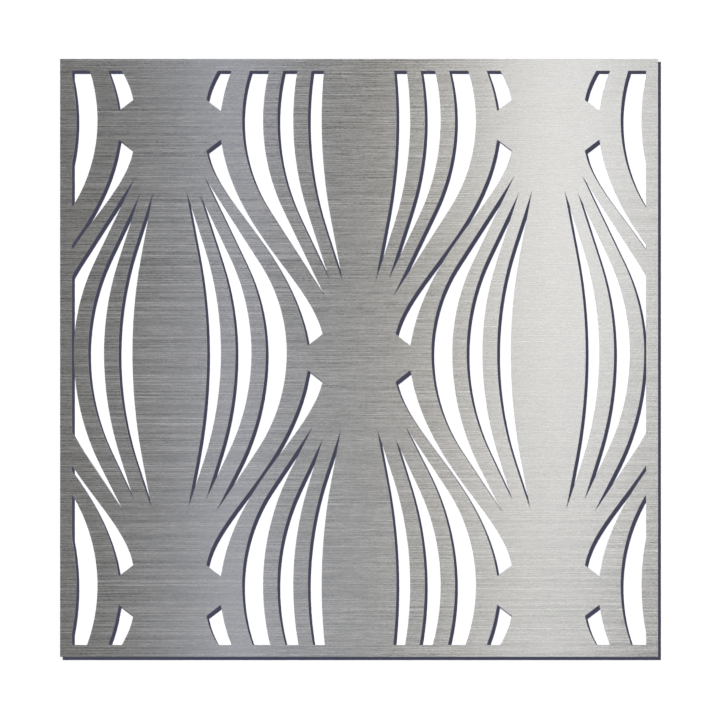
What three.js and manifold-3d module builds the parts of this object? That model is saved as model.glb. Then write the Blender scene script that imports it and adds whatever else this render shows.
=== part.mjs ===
// Laser cut decorative screen: one square sheet of brushed stainless steel, cut with a
// symmetrical lattice of long curved slots, held off a wall or rail by five concealed fixings.
//
// Units are millimetres and +Z is up. The sheet stands in the XZ plane with its brushed face
// towards -Y. The origin is the middle of the plane that the fixings stand on, so the wall
// is at Y = 0 and everything in front of it has a negative Y.

import * as THREE from 'three';
import { mergeVertices } from 'three/addons/utils/BufferGeometryUtils.js';
import Module from 'manifold-3d';

// ---------------------------------------------------------------- driving dimensions

const sheetWidth = 1000;
const sheetHeight = 1000;
const sheetThickness = 5;
const borderWidth = 20;        // solid rim left all round the cut pattern
const standoff = 30;           // from the wall to the back of the sheet

const columnPitch = 316.5;     // between neighbouring columns of the lattice
const neckPitch = 389;         // up or down from one row of necks to the next
const lensLift = 8.5;          // each lens of crescents sits this far above its row line
const chordError = 0.15;       // largest distance from a true arc to its straight steps
const curveSteps = 18;         // straight steps along each long edge of a swept slot

// Half a lens is three crescents beside the column's axis. A crescent's two edges are arcs
// that are upright at the bulge and then run straight to a shared tip. Across and along are
// measured from the lens centre.
const crescents = [
  {
    bulge: [62.5, 85.5],
    tall: { radii: [895, 580], tip: [27, 272] },
    short: { radii: [960, 586], tip: [30, 262] },
  },
  {
    bulge: [110, 136.5],
    tall: { radii: [502, 374], tip: [49, 268] },
    short: { radii: [570, 380], tip: [60, 247] },
  },
  {
    bulge: [160.5, 195.5],
    tall: { radii: [350, 273], tip: [56, 297] },
    short: { radii: [424, 293], tip: [76, 268] },
  },
];

// A swept slot runs along the diagonal from one neck of the lattice to the next. Each end is
// cut off square between a side corner and a tip corner, and each long edge leaves its corner
// along the pull that stands beside it. Every pair is along the diagonal and to the left of
// it, measured from the end's own neck.
const sweptEnds = {
  centre: { side: [69.5, -22], sidePull: [86.5, 40.5], tip: [70, -53.5], tipPull: [144, 80.5] },
  outer: { side: [71.5, -20.5], sidePull: [79, 42.5], tip: [72.5, -51], tipPull: [134.5, 79] },
};

const studDiameter = 8;
const studReach = 45;          // thread beyond the wall plane, into the wall or rail
const studChamfer = 1;
const collarDiameter = 9.5;    // welding flange at the stud's foot
const collarHeight = 1.2;

const washerDiameter = 26;
const washerThickness = 2;
const padDiameter = 28;
const padThickness = 3;
const sleeveDiameter = 25;
const sleeveChamfer = 0.8;
const boreClearance = 0.5;     // radial room round the stud and round its collar

const roundSides = 24;
const cutOvershoot = 2;        // how far a cutter runs past each face of the sheet

// ---------------------------------------------------------------- materials

const brushedSteel = new THREE.MeshStandardMaterial({
  color: 0xa9a9a8, roughness: 0.38, metalness: 1,
});
const studSteel = new THREE.MeshStandardMaterial({
  color: 0x9a9c9e, roughness: 0.3, metalness: 1,
});
const turnedSteel = new THREE.MeshStandardMaterial({
  color: 0xb4b5b6, roughness: 0.28, metalness: 1,
});
const nylon = new THREE.MeshStandardMaterial({
  color: 0xd9d8d2, roughness: 0.55, metalness: 0,
});
const sealRubber = new THREE.MeshStandardMaterial({
  color: 0x1d1d1f, roughness: 0.8, metalness: 0,
});

// ---------------------------------------------------------------- solids

const wasm = await Module();
wasm.setup();

function toSolid(geometry) {
  const bare = geometry.clone();
  bare.deleteAttribute('normal');
  bare.deleteAttribute('uv');
  const merged = mergeVertices(bare, 1e-4);
  return new wasm.Manifold(new wasm.Mesh({
    numProp: 3,
    vertProperties: new Float32Array(merged.attributes.position.array),
    triVerts: new Uint32Array(merged.index.array),
  }));
}

function toGeometry(solid) {
  const mesh = solid.getMesh();
  const geometry = new THREE.BufferGeometry();
  geometry.setAttribute('position', new THREE.BufferAttribute(mesh.vertProperties, 3));
  geometry.setIndex(new THREE.BufferAttribute(mesh.triVerts, 1));
  return geometry;
}

// An outline drawn as (across, up), made into a prism that reaches through the sheet.
function slotCutter(outline) {
  const depth = sheetThickness + 2 * cutOvershoot;
  const prism = new THREE.ExtrudeGeometry(new THREE.Shape(outline), {
    depth,
    bevelEnabled: false,
  });
  prism.rotateX(Math.PI / 2);
  prism.translate(0, -standoff + cutOvershoot, 0);
  return toSolid(prism);
}

// ---------------------------------------------------------------- slot outlines

// Points along an arc about (centreX, 0), both ends included.
function arcPoints(centreX, radius, from, to) {
  const largestStep = 2 * Math.acos(1 - chordError / radius);
  const steps = Math.max(2, Math.ceil(Math.abs(to - from) / largestStep));
  const points = [];
  for (let i = 0; i <= steps; i += 1) {
    const angle = from + (to - from) * i / steps;
    points.push(new THREE.Vector2(
      centreX + radius * Math.cos(angle),
      radius * Math.sin(angle),
    ));
  }
  return points;
}

// One edge of a half crescent, from its bulge on the axis to where the straight run to the
// tip begins.
function edgeArc(bulge, radius, tip) {
  const centreX = bulge - radius;
  const toTip = new THREE.Vector2(tip[0] - centreX, tip[1]);
  const tangentAngle = toTip.angle() - Math.acos(radius / toTip.length());
  return arcPoints(centreX, radius, 0, tangentAngle);
}

// Both edges of the half of a crescent above its bulge: out along the outer edge to the tip
// and back along the inner edge.
function halfCrescent(crescent, flank) {
  const outer = edgeArc(crescent.bulge[1], flank.radii[1], flank.tip);
  const inner = edgeArc(crescent.bulge[0], flank.radii[0], flank.tip);
  return [...outer, new THREE.Vector2(...flank.tip), ...inner.reverse()];
}

function crescentOutline(crescent, upperFlank, lowerFlank) {
  const upper = halfCrescent(crescent, crescent[upperFlank]);
  const lower = halfCrescent(crescent, crescent[lowerFlank]);
  for (const point of lower) {
    point.y = -point.y;
  }
  // The two halves meet at the bulge, so the lower one gives up its first and last points.
  return [...upper, ...lower.reverse().slice(1, -1)];
}

function sweptOutline() {
  const near = sweptEnds.centre;
  const far = sweptEnds.outer;
  const nearNeck = new THREE.Vector2(0, 0);
  const farNeck = new THREE.Vector2(columnPitch, neckPitch);
  const tilt = farNeck.angle();
  const onDiagonal = ([along, left]) => new THREE.Vector2(along, left).rotateAround(nearNeck, tilt);
  const nearSide = onDiagonal(near.side);
  const nearTip = onDiagonal(near.tip);
  const farSide = farNeck.clone().sub(onDiagonal(far.side));
  const farTip = farNeck.clone().sub(onDiagonal(far.tip));
  const upperEdge = new THREE.CubicBezierCurve(
    nearSide,
    nearSide.clone().add(onDiagonal(near.sidePull)),
    farTip.clone().sub(onDiagonal(far.tipPull)),
    farTip,
  );
  const lowerEdge = new THREE.CubicBezierCurve(
    farSide,
    farSide.clone().sub(onDiagonal(far.sidePull)),
    nearTip.clone().add(onDiagonal(near.tipPull)),
    nearTip,
  );
  return [...upperEdge.getPoints(curveSteps), ...lowerEdge.getPoints(curveSteps)];
}

// ---------------------------------------------------------------- the cut pattern

function placed(outline, flipX, flipZ, x, z) {
  return outline.map((point) => new THREE.Vector2(x + flipX * point.x, z + flipZ * point.y));
}

// Lenses stand on the necks' row lines in the even columns and half way between them in the
// odd ones. Flanks in the upper half of the sheet are tall, those in the lower half short.
function lensOutlines() {
  const lenses = [];
  for (const column of [-1, 1]) {
    lenses.push({ column, row: 0, upper: 'tall', lower: 'short' });
  }
  for (const column of [-2, 0, 2]) {
    lenses.push({ column, row: 1, upper: 'tall', lower: 'tall' });
    lenses.push({ column, row: -1, upper: 'short', lower: 'short' });
  }
  const outlines = [];
  for (const lens of lenses) {
    for (const crescent of crescents) {
      for (const side of [-1, 1]) {
        const outline = crescentOutline(crescent, lens.upper, lens.lower);
        const x = lens.column * columnPitch;
        const z = lens.row * neckPitch + lensLift;
        outlines.push(placed(outline, side, 1, x, z));
      }
    }
  }
  return outlines;
}

// Every swept slot joins an even neck to one of the four outer necks.
function sweptOutlines() {
  const outlines = [];
  for (const column of [-2, 0, 2]) {
    for (const row of [-2, 0, 2]) {
      for (const outerColumn of [-1, 1]) {
        for (const outerRow of [-1, 1]) {
          const across = outerColumn - column;
          const up = outerRow - row;
          if (Math.abs(across) === 1 && Math.abs(up) === 1) {
            const x = column * columnPitch;
            const z = row * neckPitch;
            outlines.push(placed(sweptOutline(), across, up, x, z));
          }
        }
      }
    }
  }
  return outlines;
}

function screenSheet() {
  const sheetMiddle = -standoff - sheetThickness / 2;
  const plate = new THREE.BoxGeometry(sheetWidth, sheetThickness, sheetHeight);
  plate.translate(0, sheetMiddle, 0);
  const window = new THREE.BoxGeometry(
    sheetWidth - 2 * borderWidth,
    sheetThickness + 4 * cutOvershoot,
    sheetHeight - 2 * borderWidth,
  );
  window.translate(0, sheetMiddle, 0);
  const windowSolid = toSolid(window);
  let sheet = toSolid(plate);
  for (const outline of [...lensOutlines(), ...sweptOutlines()]) {
    const cutter = slotCutter(outline).intersect(windowSolid);
    if (!cutter.isEmpty()) {
      sheet = sheet.subtract(cutter);
    }
  }
  return toGeometry(sheet);
}

// ---------------------------------------------------------------- fixings

// A turned piece about the Y axis. The profile holds [radius, y] pairs.
function turned(profile) {
  const points = profile.map(([radius, y]) => new THREE.Vector2(radius, y));
  return new THREE.LatheGeometry(points, roundSides);
}

// A ring with a plain bore, from y = back down to y = back - thickness.
function ring(bore, diameter, thickness, chamfer, back) {
  const inner = bore / 2;
  const outer = diameter / 2;
  const front = back - thickness;
  return turned([
    [inner, front],
    [outer - chamfer, front],
    ...(chamfer > 0 ? [[outer, front + chamfer], [outer, back - chamfer]] : []),
    [outer - chamfer, back],
    [inner, back],
    [inner, front],
  ]);
}

function weldStud() {
  const foot = -standoff;
  const radius = studDiameter / 2;
  return turned([
    [0, foot],
    [collarDiameter / 2, foot],
    [collarDiameter / 2, foot + collarHeight],
    [radius, foot + collarHeight],
    [radius, studReach - studChamfer],
    [radius - studChamfer, studReach],
    [0, studReach],
  ]);
}

const studBore = studDiameter + 2 * boreClearance;
const collarBore = collarDiameter + 2 * boreClearance;

function isolatingWasher() {
  return ring(collarBore, washerDiameter, washerThickness, 0, -standoff + washerThickness);
}

function spacerSleeve() {
  const length = standoff - washerThickness - padThickness;
  return ring(studBore, sleeveDiameter, length, sleeveChamfer, -padThickness);
}

function wallPad() {
  return ring(studBore, padDiameter, padThickness, 0, 0);
}

// ---------------------------------------------------------------- assembly

const screen = new THREE.Group();

function addPiece(parent, name, geometry, material) {
  const mesh = new THREE.Mesh(geometry, material);
  mesh.name = name;
  parent.add(mesh);
}

addPiece(screen, 'screen_sheet', screenSheet(), brushedSteel);

// One fixing hides behind each solid neck: the middle one and the four outer ones.
const fixingPlaces = [
  { place: 'centre', column: 0, row: 0 },
  { place: 'top_left', column: -1, row: 1 },
  { place: 'top_right', column: 1, row: 1 },
  { place: 'bottom_left', column: -1, row: -1 },
  { place: 'bottom_right', column: 1, row: -1 },
];

for (const { place, column, row } of fixingPlaces) {
  const fixing = new THREE.Group();
  fixing.position.set(column * columnPitch, 0, row * neckPitch);
  addPiece(fixing, `weld_stud_${place}`, weldStud(), studSteel);
  addPiece(fixing, `isolating_washer_${place}`, isolatingWasher(), nylon);
  addPiece(fixing, `spacer_sleeve_${place}`, spacerSleeve(), turnedSteel);
  addPiece(fixing, `wall_pad_${place}`, wallPad(), sealRubber);
  screen.add(fixing);
}

export default screen;
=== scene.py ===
import math

import bpy
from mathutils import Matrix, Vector


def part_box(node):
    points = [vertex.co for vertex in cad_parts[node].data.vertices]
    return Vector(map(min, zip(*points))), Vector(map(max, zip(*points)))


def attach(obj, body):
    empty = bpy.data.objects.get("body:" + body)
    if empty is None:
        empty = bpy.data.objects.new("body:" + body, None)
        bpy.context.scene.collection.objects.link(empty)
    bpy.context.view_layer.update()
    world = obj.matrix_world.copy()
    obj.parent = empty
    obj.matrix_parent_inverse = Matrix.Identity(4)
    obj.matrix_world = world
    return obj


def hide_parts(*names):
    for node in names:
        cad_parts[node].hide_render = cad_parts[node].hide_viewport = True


# A laser cut screen of brushed stainless steel, held off a wall by five studs and sleeves.
# Metres, +Z up. The brushed face looks towards -Y and the wall is the plane Y = 0.

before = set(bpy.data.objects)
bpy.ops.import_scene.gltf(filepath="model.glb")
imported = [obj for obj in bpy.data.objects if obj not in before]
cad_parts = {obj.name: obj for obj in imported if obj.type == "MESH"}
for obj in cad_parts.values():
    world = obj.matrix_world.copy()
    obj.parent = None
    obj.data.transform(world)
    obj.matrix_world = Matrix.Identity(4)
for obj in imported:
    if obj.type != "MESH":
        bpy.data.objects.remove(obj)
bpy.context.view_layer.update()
scene = bpy.context.scene
mm = 0.001
weldDistance = 0.002 * mm      # points closer than this become one

places = ["centre", "top_left", "top_right", "bottom_left", "bottom_right"]


def placeAxis(place):
    # the point on the wall plane that a fixing is centred on
    low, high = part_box("weld_stud_" + place)
    return Vector(((low.x + high.x) / 2, 0, (low.z + high.z) / 2))


def titled(place):
    return "".join(word.capitalize() for word in place.split("_"))


class Wire:
    # One output socket of a node tree. Arithmetic on it adds Math nodes.
    def __init__(self, bench, socket):
        self.bench = bench
        self.socket = socket

    def calc(self, operation, *others):
        return self.bench.calc(operation, self, *others)

    def __add__(self, other):
        return self.calc("ADD", other)

    def __radd__(self, other):
        return self.bench.calc("ADD", other, self)

    def __sub__(self, other):
        return self.calc("SUBTRACT", other)

    def __rsub__(self, other):
        return self.bench.calc("SUBTRACT", other, self)

    def __mul__(self, other):
        return self.calc("MULTIPLY", other)

    def __rmul__(self, other):
        return self.bench.calc("MULTIPLY", other, self)

    def __truediv__(self, other):
        return self.calc("DIVIDE", other)

    def __pow__(self, other):
        return self.calc("POWER", other)

    def __rpow__(self, other):
        return self.bench.calc("POWER", other, self)

    def __gt__(self, other):
        return self.calc("GREATER_THAN", other)

    def __lt__(self, other):
        return self.calc("LESS_THAN", other)

    def __abs__(self):
        return self.calc("ABSOLUTE")

    def least(self, other):
        return self.calc("MINIMUM", other)

    def most(self, other):
        return self.calc("MAXIMUM", other)

    def span(self, low, high, toLow=0.0, toHigh=1.0, smooth=False):
        # a clamped change of range
        kind = "SMOOTHSTEP" if smooth else "LINEAR"
        values = {"Value": self, "From Min": low, "From Max": high, "To Min": toLow, "To Max": toHigh}
        return self.bench.node("ShaderNodeMapRange", {"interpolation_type": kind, "clamp": True}, values)


class Bench:
    # A node tree being built. Most methods add a node to it and return that node's output.
    def __init__(self, tree):
        self.tree = tree

    def node(self, kind, settings, inputs, output=0):
        made = self.tree.nodes.new(kind)
        for name, value in settings.items():
            if name == "stops":
                ramp = made.color_ramp
                while len(ramp.elements) < len(value):
                    ramp.elements.new(0.5)
                for element, (position, colour) in zip(ramp.elements, value):
                    element.position = position
                    element.color = colour
            else:
                setattr(made, name, value)
        for key, value in inputs.items():
            self.plug(made.inputs[key], value)
        return Wire(self, made.outputs[output]) if made.outputs else None

    def plug(self, socket, value):
        # a list goes into a socket that takes several links, and None leaves a socket as it comes
        if isinstance(value, list):
            for wire in reversed(value):
                self.plug(socket, wire)
        elif isinstance(value, Wire):
            self.tree.links.new(value.socket, socket)
        elif value is not None:
            socket.default_value = value

    def outputs(self, wire):
        # every output, by its name, of the node that a wire comes from
        return {socket.name: Wire(self, socket) for socket in wire.socket.node.outputs}

    def calc(self, operation, *values):
        return self.node("ShaderNodeMath", {"operation": operation}, dict(enumerate(values)))

    def vectorMath(self, operation, *values, output="Vector"):
        return self.node("ShaderNodeVectorMath", {"operation": operation}, dict(enumerate(values)), output)

    def scaled(self, vector, factor):
        return self.node("ShaderNodeVectorMath", {"operation": "SCALE"}, {0: vector, "Scale": factor})

    def stretched(self, vector, factors):
        return self.vectorMath("MULTIPLY", vector, factors)

    def split(self, vector):
        return list(self.outputs(self.node("ShaderNodeSeparateXYZ", {}, {0: vector})).values())

    def joined(self, x, y, z):
        return self.node("ShaderNodeCombineXYZ", {}, {0: x, 1: y, 2: z})

    def colour(self, red, green, blue):
        return self.node("ShaderNodeCombineColor", {}, {0: red, 1: green, 2: blue})

    def mixed(self, factor, first, second, blend="MIX"):
        settings = {"data_type": "RGBA", "blend_type": blend}
        return self.node("ShaderNodeMix", settings, {0: factor, 6: first, 7: second}, 2)

    def noise(self, vector, scale, detail=2.0, roughness=0.5):
        # scale is in cells per metre, unless the vector is stretched already
        values = {"Vector": vector, "Scale": scale, "Detail": detail, "Roughness": roughness}
        return self.node("ShaderNodeTexNoise", {"normalize": True}, values)

    def bump(self, height, strength, distance):
        values = {"Strength": strength, "Distance": distance, "Height": height}
        return self.node("ShaderNodeBump", {}, values)

    def position(self):
        return self.node("GeometryNodeInputPosition", {}, {})

    def normal(self):
        return self.node("GeometryNodeInputNormal", {}, {})

    def onDomain(self, value, domain):
        settings = {"domain": domain, "data_type": "FLOAT_VECTOR"}
        return self.node("GeometryNodeFieldOnDomain", settings, {0: value})

    def stored(self, geometry, name, value, domain="POINT", kind="FLOAT_VECTOR"):
        values = {"Geometry": geometry, "Name": name, "Value": value}
        return self.node("GeometryNodeStoreNamedAttribute", {"domain": domain, "data_type": kind}, values)

    def named(self, name, kind="FLOAT_VECTOR"):
        return self.node("GeometryNodeInputNamedAttribute", {"data_type": kind}, {"Name": name})

    def welded(self, geometry):
        values = {"Geometry": geometry, "Distance": weldDistance}
        return self.node("GeometryNodeMergeByDistance", {}, values)


def opaque(colour):
    return (*colour, 1.0)


def newMaterial(name):
    material = bpy.data.materials.new(name)
    material.use_nodes = True
    material.node_tree.nodes.clear()
    return material, Bench(material.node_tree)


def finishMaterial(bench, inputs):
    shader = bench.node("ShaderNodeBsdfPrincipled", {}, inputs)
    bench.node("ShaderNodeOutputMaterial", {}, {"Surface": shader})


def objectPoint(bench):
    return bench.outputs(bench.node("ShaderNodeTexCoord", {}, {}))["Object"]


def fixingDistance(bench, point):
    # how far a point lies from the nearest fixing's axis; the four outer fixings mirror each other
    x, _, z = bench.split(point)
    outer = placeAxis("top_right")
    toOuter = ((abs(x) - outer.x) ** 2 + (abs(z) - outer.z) ** 2) ** 0.5
    toCentre = (x ** 2 + z ** 2) ** 0.5
    return toOuter.least(toCentre)


brushedFinish = {
    "steel": (0.555, 0.553, 0.546),
    "roughness": 0.34,
    "drawOut": 0.88,           # how far highlights are drawn out across the hairlines
    "drawTurn": 0.25,          # a quarter turn, because the hairlines run along X
    # each layer of hairlines: how long they run, how close they lie, and their share of the whole
    "layers": {
        "long": (0.6, 1.0 * mm, 1.7),
        "middling": (0.08, 1.0 * mm, 0.75),
        "short": (0.02, 1.0 * mm, 0.6),
        "specks": (0.005, 1.0 * mm, 0.75),
        "fine": (0.05, 0.25 * mm, 0.5),
    },
    "layerGap": 7.3,           # how far apart in the noise the layers are taken
    "glint": 0.16,             # makes the bright lines stand out more than the dark ones
    "tone": 0.54,              # how far the hairlines lighten or darken the steel
    "scatter": 0.12,           # how much rougher its light lines are
    "relief": (1.0, 0.022 * mm),       # the strength and depth of the bump
}


def brushedSteel():
    size = brushedFinish
    material, bench = newMaterial("brushedSteel")
    x, _, z = bench.split(objectPoint(bench))
    grain = 0.0
    for shift, (length, pitch, share) in enumerate(size["layers"].values(), 3):
        # noise drawn out along X, with each layer in a place of its own
        spot = bench.joined(x * (1 / length), size["layerGap"] * shift, z * (1 / pitch))
        grain = grain + share * (bench.noise(spot, 1.0, detail=0.0) * 2.0 - 1.0)
    grain = grain + size["glint"] * grain * grain
    tone = 2.0 ** (size["tone"] * grain)
    red, green, blue = size["steel"]
    finishMaterial(bench, {
        "Base Color": bench.colour(tone * red, tone * green, tone * blue),
        "Metallic": 1.0,
        "Roughness": size["roughness"] + size["scatter"] * grain,
        "Anisotropic": size["drawOut"],
        "Anisotropic Rotation": size["drawTurn"],
        "Normal": bench.bump(grain, *size["relief"]),
    })
    return material


millFinish = {
    "steel": (0.50, 0.505, 0.51),
    "tone": 0.86,              # the darkest tone, to which rolling marks and clouds add
    "rolling": 0.16,
    "rollingStretch": (60.0, 1.0, 9.0),
    "rollingScale": 4.0,
    "clouding": 0.12,
    "cloudScale": 6.0,
    "roughness": 0.36,
    "grainScale": 900.0,
    "relief": (0.12, 0.03 * mm),
    "heatReach": (8.0 * mm, 21.0 * mm),     # where the weld's tint starts and ends, from the axis
    "heatWander": 2.0 * mm,
    "heatScale": 90.0,
    "heatShare": 0.5,
    "heatColours": [           # from the weld outwards, as parts of the way to plain steel
        (0.0, (0.36, 0.38, 0.44)),
        (0.25, (0.30, 0.30, 0.42)),
        (0.5, (0.52, 0.40, 0.33)),
        (0.75, (0.62, 0.53, 0.34)),
    ],
}


def milledBack():
    size = millFinish
    material, bench = newMaterial("milledBack")
    point = objectPoint(bench)
    away = fixingDistance(bench, point) + size["heatWander"] * bench.noise(point, size["heatScale"])
    stops = [(part, opaque(colour)) for part, colour in size["heatColours"]]
    stops.append((1.0, opaque(size["steel"])))
    heat = bench.node("ShaderNodeValToRGB", {"stops": stops}, {0: away.span(*size["heatReach"])})
    tinted = bench.mixed(size["heatShare"], opaque(size["steel"]), heat)
    marks = bench.noise(bench.stretched(point, size["rollingStretch"]), size["rollingScale"], detail=4.0)
    cloud = bench.noise(point, size["cloudScale"], detail=3.0)
    tone = size["tone"] + size["rolling"] * marks + size["clouding"] * cloud
    finishMaterial(bench, {
        "Base Color": bench.mixed(1.0, tinted, bench.colour(tone, tone, tone), "MULTIPLY"),
        "Metallic": 1.0,
        "Roughness": size["roughness"] + size["clouding"] * cloud,
        "Normal": bench.bump(bench.noise(point, size["grainScale"]), *size["relief"]),
    })
    return material


cutFinish = {
    "oxide": (0.075, 0.080, 0.115),
    "bright": (0.17, 0.175, 0.20),
    "metallic": 0.85,
    "roughness": 0.62,
    "polish": 0.2,             # how much smoother the light striae are
    "striaePitch": 0.9 * mm,
    "lean": 0.25,              # how far the striae lean towards the back
    "brightSpan": (0.35, 0.7),
    "relief": (0.5, 0.06 * mm),
}


def laserCutEdge():
    size = cutFinish
    material, bench = newMaterial("laserCutEdge")
    along = 1 / size["striaePitch"]
    striae = bench.noise(bench.stretched(objectPoint(bench), (along, size["lean"] * along, along)), 1.0)
    bright = striae.span(*size["brightSpan"])
    finishMaterial(bench, {
        "Base Color": bench.mixed(bright, opaque(size["oxide"]), opaque(size["bright"])),
        "Metallic": size["metallic"],
        "Roughness": size["roughness"] - size["polish"] * striae,
        "Normal": bench.bump(striae, *size["relief"]),
    })
    return material


threadFinish = {
    "roots": (0.30, 0.30, 0.305),      # darker down in the thread's roots
    "crests": (0.60, 0.605, 0.61),     # lighter on the crests
    "roughness": 0.46,
    "burnish": 0.22,                   # how much smoother the crests are
    "mottle": 0.1,
    "mottleScale": 700.0,
    "relief": (0.15, 0.03 * mm),
}


def threadSteel():
    size = threadFinish
    material, bench = newMaterial("threadSteel")
    point = objectPoint(bench)
    crestRadius = threadSizes["crestRadius"]
    crest = fixingDistance(bench, point).span(crestRadius - threadSizes["depth"], crestRadius)
    mottle = bench.noise(point, size["mottleScale"], detail=3.0)
    finishMaterial(bench, {
        # the steel's tone follows the thread's depth: darker down in the roots, lighter on the crests
        "Base Color": bench.mixed(crest, opaque(size["roots"]), opaque(size["crests"])),
        "Metallic": 1.0,
        "Roughness": size["roughness"] - size["burnish"] * crest + size["mottle"] * mottle,
        "Normal": bench.bump(mottle, *size["relief"]),
    })
    return material


turnedFinish = {
    "tone": 0.53,
    "tint": (1.0, 1.005, 1.012),
    "roughness": 0.24,
    "feedTone": 0.10,          # what the tool's feed lines add
    "feedRoughness": 0.12,
    "feedStretch": (30.0, 5200.0, 30.0),
    "stainTone": 0.05,
    "stainRoughness": 0.06,
    "stainStretch": (1.0, 0.5, 1.0),
    "stainScale": 140.0,
    "relief": (0.3, 0.03 * mm),
}


def turnedSteel():
    size = turnedFinish
    material, bench = newMaterial("turnedSteel")
    point = objectPoint(bench)
    feed = bench.noise(bench.stretched(point, size["feedStretch"]), 1.0)
    stain = bench.noise(bench.stretched(point, size["stainStretch"]), size["stainScale"], detail=3.0)
    tone = size["tone"] + size["feedTone"] * feed + size["stainTone"] * stain
    red, green, blue = size["tint"]
    finishMaterial(bench, {
        "Base Color": bench.colour(tone * red, tone * green, tone * blue),
        "Metallic": 1.0,
        "Roughness": size["roughness"] + size["feedRoughness"] * feed + size["stainRoughness"] * stain,
        "Normal": bench.bump(feed, *size["relief"]),
    })
    return material


nylonFinish = {
    "deep": (0.72, 0.71, 0.665),
    "pale": (0.80, 0.795, 0.76),
    "roughness": 0.42,
    "clouding": 0.14,
    "cloudScale": 160.0,
    "grainScale": 2600.0,
    "relief": (0.12, 0.05 * mm),
}


def naturalNylon():
    size = nylonFinish
    material, bench = newMaterial("naturalNylon")
    point = objectPoint(bench)
    cloud = bench.noise(point, size["cloudScale"], detail=3.0)
    finishMaterial(bench, {
        "Base Color": bench.mixed(cloud, opaque(size["deep"]), opaque(size["pale"])),
        "Roughness": size["roughness"] + size["clouding"] * cloud,
        "Normal": bench.bump(bench.noise(point, size["grainScale"]), *size["relief"]),
    })
    return material


rubberFinish = {
    "black": (0.022, 0.022, 0.024),
    "dusty": (0.045, 0.045, 0.047),
    "roughness": 0.72,
    "grain": 0.16,
    "grainScale": 1800.0,
    "grainRoughness": 0.65,
    "dustScale": 260.0,
    "dustSpan": (0.45, 0.75),
    "relief": (0.35, 0.08 * mm),
}


def sealRubber():
    size = rubberFinish
    material, bench = newMaterial("sealRubber")
    point = objectPoint(bench)
    grain = bench.noise(point, size["grainScale"], detail=3.0, roughness=size["grainRoughness"])
    dust = bench.noise(point, size["dustScale"]).span(*size["dustSpan"])
    finishMaterial(bench, {
        "Base Color": bench.mixed(dust, opaque(size["black"]), opaque(size["dusty"])),
        "Roughness": size["roughness"] + size["grain"] * grain,
        "Normal": bench.bump(grain, *size["relief"]),
    })
    return material


def geometryTree(name, inputs):
    # inputs holds the value of each named input, and a tuple makes it a vector
    tree = bpy.data.node_groups.new(name, "GeometryNodeTree")
    tree.interface.new_socket("Geometry", in_out="INPUT", socket_type="NodeSocketGeometry")
    for label, value in inputs.items():
        kind = "NodeSocketVector" if isinstance(value, tuple) else "NodeSocketFloat"
        tree.interface.new_socket(label, in_out="INPUT", socket_type=kind)
    tree.interface.new_socket("Geometry", in_out="OUTPUT", socket_type="NodeSocketGeometry")
    bench = Bench(tree)
    return tree, bench, bench.outputs(bench.node("NodeGroupInput", {}, {}))


def finishTree(bench, geometry, finishes):
    # finishes holds each material with the faces that it goes on, where None is all of them
    solid = bench.node("GeometryNodeRealizeInstances", {}, {"Geometry": geometry})
    for material, faces in finishes:
        values = {"Geometry": solid, "Selection": faces, "Material": material}
        solid = bench.node("GeometryNodeSetMaterial", {}, values)
    bench.node("NodeGroupOutput", {}, {"Geometry": solid})


def baked(name, tree, inputs, source=None):
    # runs a tree on a mesh and returns the result as a plain object at the origin
    holder = bpy.data.objects.new(name + "Source", source or bpy.data.meshes.new(name + "Source"))
    scene.collection.objects.link(holder)
    modifier = holder.modifiers.new("build", "NODES")
    modifier.node_group = tree
    identifiers = {item.name: item.identifier for item in tree.interface.items_tree
                   if item.in_out == "INPUT"}
    for label, value in inputs.items():
        modifier[identifiers[label]] = value
    graph = bpy.context.evaluated_depsgraph_get()
    graph.update()
    mesh = bpy.data.meshes.new_from_object(holder.evaluated_get(graph), depsgraph=graph)
    holder.modifiers.remove(modifier)
    bpy.data.objects.remove(holder)
    mesh.name = name
    return linked(name, mesh)


def linked(name, mesh):
    piece = bpy.data.objects.new(name, mesh)
    scene.collection.objects.link(piece)
    return piece


def placePiece(piece, node):
    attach(piece, "root")
    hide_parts(node)


def smoothRound(mesh, degrees):
    mesh.polygons.foreach_set("use_smooth", [True] * len(mesh.polygons))
    mesh.set_sharp_from_angle(angle=math.radians(degrees))


sheetSizes = {
    "edgeBreak": 0.3 * mm,     # the deburred edge round every slot
    "cornerTurn": 8.5,         # degrees; the outline has a corner where it turns by more
    "arcSteps": 4,             # finer steps that each straight step of an arc becomes
    "squareOn": 0.9,           # how squarely a face of the solid looks forwards to be its front
    "finishTurn": 0.3,         # how far a face looks forwards or back to take that side's finish
}


def frontOutline(bench, geometry):
    # the edges round the front face and its slots, each with the direction of its wall
    normalX, normalY, normalZ = bench.split(bench.normal())
    wallSide = bench.onDomain(bench.joined(normalX, 0.0, normalZ), "FACE")
    withSides = bench.stored(bench.welded(geometry), "side", wallSide, domain="EDGE")
    front = bench.node("GeometryNodeSeparateGeometry", {"domain": "FACE"}, {
        "Geometry": withSides, "Selection": normalY < -sheetSizes["squareOn"],
    })
    facesBeside = bench.node("GeometryNodeInputMeshEdgeNeighbors", {}, {})     # one at the rim
    marked = bench.stored(front, "rim", facesBeside < 1.5, domain="EDGE", kind="BOOLEAN")
    bare = bench.node("GeometryNodeDeleteGeometry", {"domain": "FACE", "mode": "ONLY_FACE"}, {
        "Geometry": marked,
    })
    return bench.node("GeometryNodeSeparateGeometry", {"domain": "EDGE"}, {
        "Geometry": bare, "Selection": bench.named("rim", kind="BOOLEAN"),
    })


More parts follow.
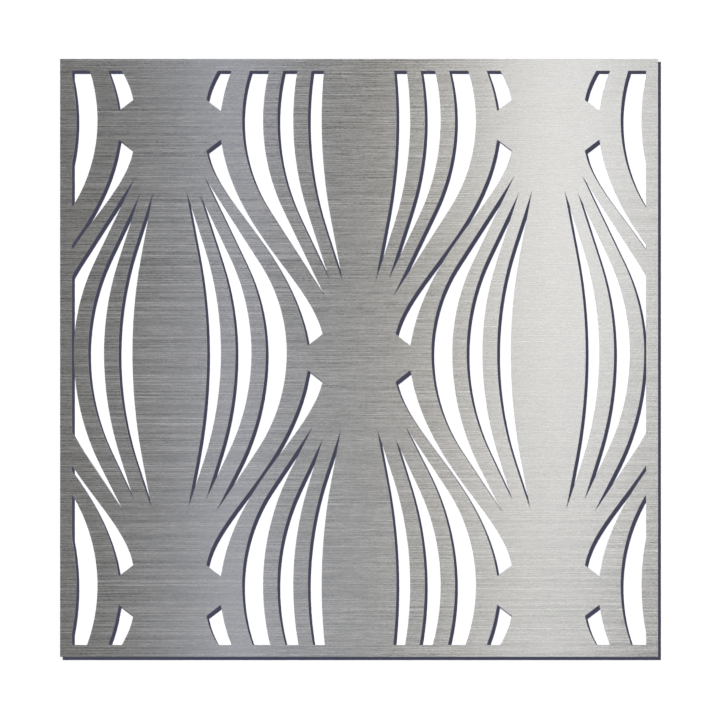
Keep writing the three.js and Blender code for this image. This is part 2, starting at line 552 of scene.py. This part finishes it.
def roundedOutline(bench, outline):
    # Bows each straight step of the outline into the arc that it stands for. A point's
    # meeting is the mean of the walls' directions on its two sides, so its length is the
    # cosine of half the turn there. A step beside a corner, or in a straight run, stays straight.
    wallWay = bench.onDomain(bench.vectorMath("NORMALIZE", bench.named("side")), "EDGE")
    curve = bench.node("GeometryNodeMeshToCurve", {}, {"Mesh": bench.stored(outline, "outward", wallWay)})

    def fetched(value, index):
        settings = {"domain": "POINT", "data_type": "FLOAT_VECTOR"}
        return bench.node("GeometryNodeFieldAtIndex", settings, {"Index": index, "Value": value})

    def turnAt(wallMean):
        # the outline's turn at a point, taken as none where it is a corner
        turn = bench.vectorMath("LENGTH", wallMean, output="Value").calc("ARCCOSINE") * 2.0
        return turn * (turn < math.radians(sheetSizes["cornerTurn"]))

    here = bench.position()
    meeting = bench.named("outward")
    following = bench.outputs(bench.node("GeometryNodeOffsetPointInCurve", {}, {"Offset": 1}))["Point Index"]
    nextMeeting = fetched(meeting, following)
    along = bench.vectorMath("SUBTRACT", fetched(here, following), here)
    spread = bench.vectorMath("SUBTRACT", nextMeeting, meeting)
    bulges = bench.vectorMath("DOT_PRODUCT", spread, along, output="Value").calc("SIGN")
    length = bench.vectorMath("LENGTH", along, output="Value")
    # an arc rises an eighth of its turn times its chord
    rise = bulges * length * turnAt(meeting).least(turnAt(nextMeeting)) / 8.0
    across = bench.vectorMath("NORMALIZE", bench.vectorMath("ADD", meeting, nextMeeting))
    withBow = bench.stored(curve, "bow", bench.scaled(across, rise))

    steps = sheetSizes["arcSteps"]
    finer = bench.node("GeometryNodeSubdivideCurve", {}, {"Curve": withBow, "Cuts": steps - 1})
    index = bench.node("GeometryNodeInputIndex", {}, {})
    step = index.calc("MODULO", steps)
    part = step / steps
    bow = fetched(bench.named("bow"), index - step)
    bowed = bench.node("GeometryNodeSetPosition", {}, {
        "Geometry": finer, "Offset": bench.scaled(bow, 4.0 * part * (1.0 - part)),
    })
    return bench.node("GeometryNodeCurveToMesh", {}, {"Curve": bowed})


def sheetTree(inputs, faceMaterial, backMaterial, edgeMaterial):
    # Takes the outline of the sheet's front face and builds the sheet again from it, with
    # its edges broken. It is built flat, with depth as the third number, and then stood up.
    tree, bench, given = geometryTree("edgeBrokenSheet", inputs)
    edgeBreak, front, back = given["Edge Break"], given["Front"], given["Back"]
    outline = roundedOutline(bench, frontOutline(bench, given["Geometry"]))
    position = bench.position()
    withHome = bench.stored(outline, "home", position)
    homeX, _, homeZ = bench.split(bench.named("home"))
    outX, _, outZ = bench.split(bench.vectorMath("NORMALIZE", bench.named("outward")))

    def flat(inset, depth):
        # where the outline lies once it is drawn into the metal by inset
        return bench.joined(homeX - outX * inset, homeZ - outZ * inset, depth)

    def moved(geometry, place, selection=None):
        values = {"Geometry": geometry, "Selection": selection, "Position": place}
        return bench.node("GeometryNodeSetPosition", {}, values)

    start = moved(withHome, flat(edgeBreak, front))
    walls = start
    top = None
    for inset, depth in [(0.0, front + edgeBreak), (0.0, back - edgeBreak), (edgeBreak, back)]:
        extruded = bench.node("GeometryNodeExtrudeMesh", {"mode": "EDGES"}, {
            "Mesh": walls, "Selection": top, "Offset Scale": 0.0,
        })
        top = bench.outputs(extruded)["Top"]
        walls = moved(extruded, flat(inset, depth), top)

    loops = bench.node("GeometryNodeMeshToCurve", {}, {"Mesh": start})
    cap = bench.node("GeometryNodeFillCurve", {}, {"Curve": loops})
    flatX, flatY, depth = bench.split(position)
    frontCap = moved(cap, bench.joined(flatX, flatY, front))
    backCap = moved(cap, bench.joined(flatX, flatY, back))

    def stood(geometry, outside):
        # stands a flat piece up, then turns any face that looks into the metal
        upright = moved(geometry, bench.joined(flatX, depth, flatY))
        wayOut = bench.onDomain(outside, "FACE")
        wrong = bench.vectorMath("DOT_PRODUCT", bench.normal(), wayOut, output="Value") < 0.0
        return bench.node("GeometryNodeFlipFaces", {}, {"Mesh": upright, "Selection": wrong})

    parts = [
        stood(walls, bench.named("outward")),
        stood(frontCap, bench.joined(0.0, -1.0, 0.0)),
        stood(backCap, bench.joined(0.0, 1.0, 0.0)),
    ]
    closed = bench.welded(bench.node("GeometryNodeJoinGeometry", {}, {"Geometry": parts}))
    for spent in ["side", "rim", "outward", "home", "bow"]:
        closed = bench.node("GeometryNodeRemoveAttribute", {}, {"Geometry": closed, "Name": spent})
    # a broken edge takes the finish of the face it runs beside
    _, facing, _ = bench.split(bench.normal())
    finishTree(bench, closed, [
        (edgeMaterial, None),
        (faceMaterial, facing < -sheetSizes["finishTurn"]),
        (backMaterial, facing > sheetSizes["finishTurn"]),
    ])
    return tree


def dressedSheet():
    low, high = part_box("screen_sheet")
    inputs = {"Edge Break": sheetSizes["edgeBreak"], "Front": low.y, "Back": high.y}
    tree = sheetTree(inputs, brushedSteel(), milledBack(), laserCutEdge())
    sheet = baked("cutSheet", tree, inputs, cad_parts["screen_sheet"].data.copy())
    placePiece(sheet, "screen_sheet")
    print("sheet:", len(sheet.data.polygons), "faces")


threadSizes = {
    "crestRadius": 4.0 * mm,
    "pitch": 1.25 * mm,
    "depth": 0.767 * mm,
    "crestFlat": 1 / 8,        # parts of the pitch
    "rootFlat": 1 / 4,
    "tipChamfer": 1.0 * mm,
    "collarRadius": 4.75 * mm,
    "collarHeight": 1.2 * mm,
    "around": 36,
    "rowsPerPitch": 8,
    "smoothTurn": 28,          # degrees
}


def studTree(inputs, material):
    # A tube of rows whose radius follows the thread, closed by a point at each end.
    tree, bench, given = geometryTree("threadedStud", inputs)
    size = threadSizes
    rowStep = given["Pitch"] / size["rowsPerPitch"]
    length = given["Tip"] - given["Foot"]
    rows = (length / rowStep).calc("CEIL") + 2.0
    grid = bench.node("GeometryNodeMeshGrid", {}, {
        "Size X": 1.0, "Size Y": 1.0, "Vertices X": size["around"] + 1, "Vertices Y": rows + 1.0,
    })
    gridX, gridY, _ = bench.split(bench.position())
    turn = gridX + 0.5
    row = ((gridY + 0.5) * rows).calc("ROUND")
    height = ((row - 1.0) * rowStep).most(0.0).least(length)
    ridge = abs((height / given["Pitch"] - turn).calc("FRACT") - 0.5) * 2.0
    cut = ridge.span(size["crestFlat"], 1 - size["rootFlat"])
    thread = given["Crest Radius"] - given["Thread Depth"] * cut
    chamfered = thread.least(given["Crest Radius"] - size["tipChamfer"] + length - height)
    inCollar = height < size["collarHeight"]
    radius = chamfered + inCollar * (size["collarRadius"] - chamfered)
    radius = radius * ((row > 0.5) * (row < rows - 0.5))
    angle = turn * (2 * math.pi)
    spot = bench.joined(radius * angle.calc("SINE"), height + given["Foot"], radius * angle.calc("COSINE"))
    shaped = bench.node("GeometryNodeSetPosition", {}, {"Geometry": grid, "Position": spot})
    moved = bench.node("GeometryNodeTransform", {}, {
        "Geometry": bench.welded(shaped), "Translation": given["Place"],
    })
    finishTree(bench, moved, [(material, None)])
    return tree


def threadedStuds():
    low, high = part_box("weld_stud_centre")
    inputs = {
        "Foot": low.y,
        "Tip": high.y,
        "Crest Radius": threadSizes["crestRadius"],
        "Thread Depth": threadSizes["depth"],
        "Pitch": threadSizes["pitch"],
        "Place": (0.0, 0.0, 0.0),
    }
    tree = studTree(inputs, threadSteel())
    for place in places:
        inputs["Place"] = tuple(placeAxis(place))
        stud = baked("threadedStud" + titled(place), tree, inputs)
        smoothRound(stud.data, threadSizes["smoothTurn"])
        placePiece(stud, "weld_stud_" + place)
    print("studs:", len(places), "of", len(stud.data.polygons), "faces")


ringSizes = {
    # one step at an edge is a chamfer, and more make it round
    "isolating_washer": {
        "name": "isolatingWasher", "slot": "washer_nylon", "bore": 10.5 * mm, "edge": 0.35 * mm, "steps": 5,
    },
    "spacer_sleeve": {
        "name": "spacerSleeve", "slot": "sleeve_steel", "bore": 9.0 * mm, "edge": 0.8 * mm, "steps": 1,
    },
    "wall_pad": {
        "name": "wallPad", "slot": "pad_rubber", "bore": 9.0 * mm, "edge": 0.5 * mm, "steps": 5,
    },
}
ringSides = 96
ringSmoothTurn = 32            # degrees


def ringProfile(outer, low, high, size):
    # round the ring's section: from its front face to the outside, the back face and the bore
    def corner(radius, level, radialWay, levelWay, reach):
        # from the face round to the side, about the corner at (radius, level)
        points = []
        for step in range(size["steps"] + 1):
            angle = math.pi / 2 * step / size["steps"]
            across = reach * (1 - math.sin(angle))
            down = reach * (1 - math.cos(angle))
            points.append((radius + radialWay * across, level + levelWay * down))
        return points

    bore = size["bore"] / 2
    edge = size["edge"]
    boreEdge = edge / 2
    return [
        *corner(outer, low, -1, 1, edge),
        *reversed(corner(outer, high, -1, -1, edge)),
        *corner(bore, high, 1, -1, boreEdge),
        *reversed(corner(bore, low, 1, 1, boreEdge)),
    ]


def ringMesh(name, place, node, size):
    # a ring about the Y axis whose outer and bore edges are rounded or chamfered
    low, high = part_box(node + "_" + place)
    axis = placeAxis(place)
    profile = ringProfile((high.x - low.x) / 2, low.y, high.y, size)
    vertices = []
    for side in range(ringSides):
        angle = 2 * math.pi * side / ringSides
        for radius, level in profile:
            vertices.append((axis.x + radius * math.sin(angle), level, axis.z + radius * math.cos(angle)))
    count = len(profile)
    faces = []
    for side in range(ringSides):
        here = side * count
        there = (side + 1) % ringSides * count
        for point in range(count):
            nextPoint = (point + 1) % count
            faces.append((here + point, there + point, there + nextPoint, here + nextPoint))
    mesh = bpy.data.meshes.new(name)
    mesh.from_pydata(vertices, [], faces)
    smoothRound(mesh, ringSmoothTurn)
    return mesh


def fixingRings():
    finishes = {
        "isolating_washer": naturalNylon(),
        "spacer_sleeve": turnedSteel(),
        "wall_pad": sealRubber(),
    }
    for node, size in ringSizes.items():
        for place in places:
            name = size["name"] + titled(place)
            mesh = ringMesh(name, place, node, size)
            mesh.materials.append(finishes[node])
            placePiece(linked(name, mesh), node + "_" + place)
        print(size["name"] + ":", len(places), "of", len(mesh.polygons), "faces")


stageSizes = {
    "wallHalf": 3.0,
    "wallGap": 0.4 * mm,
    "floorLevel": -0.68,
    "wallPaint": (1.0, 1.0, 1.0),
    "edgeTone": (0.06, 0.063, 0.098),   # the shaded wall, as dark as the cut edges are drawn
    "floorPaint": (0.8, 0.8, 0.8),
    "floorGlow": (0.6, 0.6, 0.6),
}


def stagePlane(name, corners, material):
    mesh = bpy.data.meshes.new(name)
    mesh.from_pydata(corners, [], [(0, 1, 2, 3)])
    mesh.materials.append(material)
    plane = linked(name, mesh)
    plane.visible_glossy = False       # the metal mirrors the studio alone
    return plane


def stagePaint(name, paint, glow):
    # Diffuse paint, plus a glow that only the camera sees. It shows from the front only, so
    # the part can be seen from behind too.
    material, bench = newMaterial(name)
    seen = bench.outputs(bench.node("ShaderNodeLightPath", {}, {}))["Is Camera Ray"]
    diffuse = bench.node("ShaderNodeBsdfDiffuse", {}, {"Color": opaque(paint)})
    emission = bench.node("ShaderNodeEmission", {}, {"Color": opaque(glow), "Strength": seen})
    front = bench.node("ShaderNodeAddShader", {}, {0: diffuse, 1: emission})
    behind = bench.outputs(bench.node("ShaderNodeNewGeometry", {}, {}))["Backfacing"]
    clear = bench.node("ShaderNodeBsdfTransparent", {}, {})
    shown = bench.node("ShaderNodeMixShader", {}, {0: behind, 1: front, 2: clear})
    bench.node("ShaderNodeOutputMaterial", {}, {"Surface": shown})
    return material


def stageRoom():
    size = stageSizes
    half, gap, floor = size["wallHalf"], size["wallGap"], size["floorLevel"]
    wallCorners = [(-half, gap, floor), (half, gap, floor), (half, gap, half), (-half, gap, half)]
    wall = stagePlane("wall", wallCorners, stagePaint("wallPaint", size["wallPaint"], size["edgeTone"]))
    wall.visible_shadow = False
    floorCorners = [(-half, -half, floor), (half, -half, floor), (half, half, floor), (-half, half, floor)]
    floorPaint = stagePaint("floorPaint", size["floorPaint"], size["floorGlow"])
    ground = stagePlane("floor", floorCorners, floorPaint)
    return wall, ground


skySizes = {
    # what the metal mirrors, by the height and the side that a mirrored ray points to
    "heights": (-0.6, 0.9),
    "heightLevels": (0.10, 0.51),
    "sides": (0.22, 0.60),
    "sideLevels": (0.0, 0.42),     # added to each side alike
    "warmth": (1.03, 1.0, 0.955),
}


def skyLight():
    # white for the camera, and a soft studio gradient for what the metal mirrors
    size = skySizes
    world = bpy.data.worlds.new("studio")
    scene.world = world
    world.use_nodes = True
    world.node_tree.nodes.clear()
    world.cycles.sampling_method = "NONE"
    bench = Bench(world.node_tree)
    path = bench.outputs(bench.node("ShaderNodeLightPath", {}, {}))
    dx, _, dz = bench.split(bench.outputs(bench.node("ShaderNodeTexCoord", {}, {}))["Generated"])
    height = dz.span(*size["heights"], *size["heightLevels"], smooth=True)
    level = height + abs(dx).span(*size["sides"], *size["sideLevels"], smooth=True)
    red, green, blue = size["warmth"]
    mirrored = bench.colour(level * red, level * green, level * blue)
    shown = bench.mixed(path["Is Camera Ray"], mirrored, (1.0, 1.0, 1.0, 1.0))
    # no share for diffuse rays, so the wall's shadows stay as dark as they are painted
    strength = 1.0 - path["Is Diffuse Ray"]
    background = bench.node("ShaderNodeBackground", {}, {"Color": shown, "Strength": strength})
    bench.node("ShaderNodeOutputWorld", {}, {"Surface": background})


studioLamps = {
    # Metres and watts. Each stands at its own distance, because one would hide another in its
    # plane. It faces straight back or the middle of the sheet, and lights the part or the floor.
    "rightTall": {"spot": (0.30, -1.30, -0.2), "faces": "back", "width": 0.26, "height": 3.2,
                  "power": 2.4, "tint": (0.96, 0.97, 1.0), "lights": "part"},
    "rightWide": {"spot": (0.66, -1.32, 0.34), "faces": "back", "width": 0.80, "height": 1.2,
                  "power": 2.95, "tint": (1.0, 1.0, 0.99), "lights": "part"},
    "middle": {"spot": (0.17, -1.34, 0.1), "faces": "back", "width": 0.24, "height": 1.0,
               "power": 0.30, "tint": (1.0, 0.89, 0.67), "lights": "part"},
    "leftLow": {"spot": (-0.145, -1.36, -0.83), "faces": "back", "width": 0.41, "height": 1.6,
                "power": 1.0, "tint": (0.81, 0.87, 1.0), "lights": "part"},
    "leftHigh": {"spot": (-0.235, -1.38, 0.69), "faces": "back", "width": 0.20, "height": 0.3,
                 "power": 0.33, "tint": (0.77, 0.84, 1.0), "lights": "part"},
    "leftBand": {"spot": (-0.215, -0.8, 0), "faces": "back", "width": 0.04, "height": 1.6,
                 "power": 0.155, "tint": (0.73, 0.76, 1.0), "lights": "part"},
    "behind": {"spot": (-0.5, 1.6, 0.9), "faces": "middle", "width": 2.0, "height": 2.0,
               "power": 10.0, "tint": (1.0, 1.0, 1.0), "lights": "part"},
    "besideBack": {"spot": (2.2, 0.7, 0.3), "faces": "middle", "width": 1.2, "height": 1.6,
                   "power": 8.0, "tint": (1.0, 1.0, 1.0), "lights": "part"},
    "overhead": {"spot": (0.2, -0.9, 1.9), "faces": "middle", "width": 1.6, "height": 1.0,
                 "power": 10.0, "tint": (1.0, 1.0, 1.0), "lights": "floor"},
}
wallLampSizes = {
    "throw": (4.85, 35.0, -5.45),  # where the front face's shadow falls: across, behind and down
    "power": 3.1,
    "spread": 0.2,                 # degrees
}


def receiverSet(name, members):
    collection = bpy.data.collections.new(name)
    for member in members:
        collection.objects.link(member)
    return collection


def lampAt(name, data, spot, direction, receivers):
    lamp = bpy.data.objects.new(name, data)
    lamp.location = spot
    lamp.rotation_euler = Vector(direction).to_track_quat("-Z", "Y").to_euler()
    lamp.visible_camera = False
    lamp.light_linking.receiver_collection = receivers
    scene.collection.objects.link(lamp)


def softBox(name, size, receivers):
    data = bpy.data.lights.new(name, "AREA")
    data.shape = "RECTANGLE"
    data.size = size["width"]
    data.size_y = size["height"]
    data.energy = size["power"]
    data.color = size["tint"]
    direction = (0, 1, 0) if size["faces"] == "back" else -Vector(size["spot"])
    lampAt(name, data, size["spot"], direction, receivers)


def studioLights(wall, ground):
    pieces = [item for item in scene.objects
              if item.type == "MESH" and item not in (wall, ground) and not item.hide_render]
    lit = {"part": receiverSet("part", pieces), "floor": receiverSet("floor", [ground])}
    for name, size in studioLamps.items():
        softBox(name, size, lit[size["lights"]])
    sun = bpy.data.lights.new("wallLamp", "SUN")
    sun.energy = wallLampSizes["power"]
    sun.angle = math.radians(wallLampSizes["spread"])
    lampAt("wallLamp", sun, (0, 0, 0), wallLampSizes["throw"], receiverSet("wall", [wall]))


cameraSizes = {
    "frameWidth": 1.204,       # the photograph's 720 px at 1.672 mm each
    "across": 1.6 * mm,
    "up": -3.5 * mm,
    "distance": 3.0,
}


def mainCamera():
    size = cameraSizes
    data = bpy.data.cameras.new("camera")
    data.type = "ORTHO"
    data.ortho_scale = size["frameWidth"]
    camera = bpy.data.objects.new("camera", data)
    camera.location = (size["across"], -size["distance"], size["up"])
    camera.rotation_euler = (math.pi / 2, 0, 0)
    scene.collection.objects.link(camera)
    scene.camera = camera


scene.view_settings.view_transform = "Standard"
scene.cycles.diffuse_bounces = 0       # so nothing but its lamp lights the wall
mainCamera()
dressedSheet()
threadedStuds()
fixingRings()
wall, ground = stageRoom()
skyLight()
studioLights(wall, ground)
print("camera, stage and lights set")
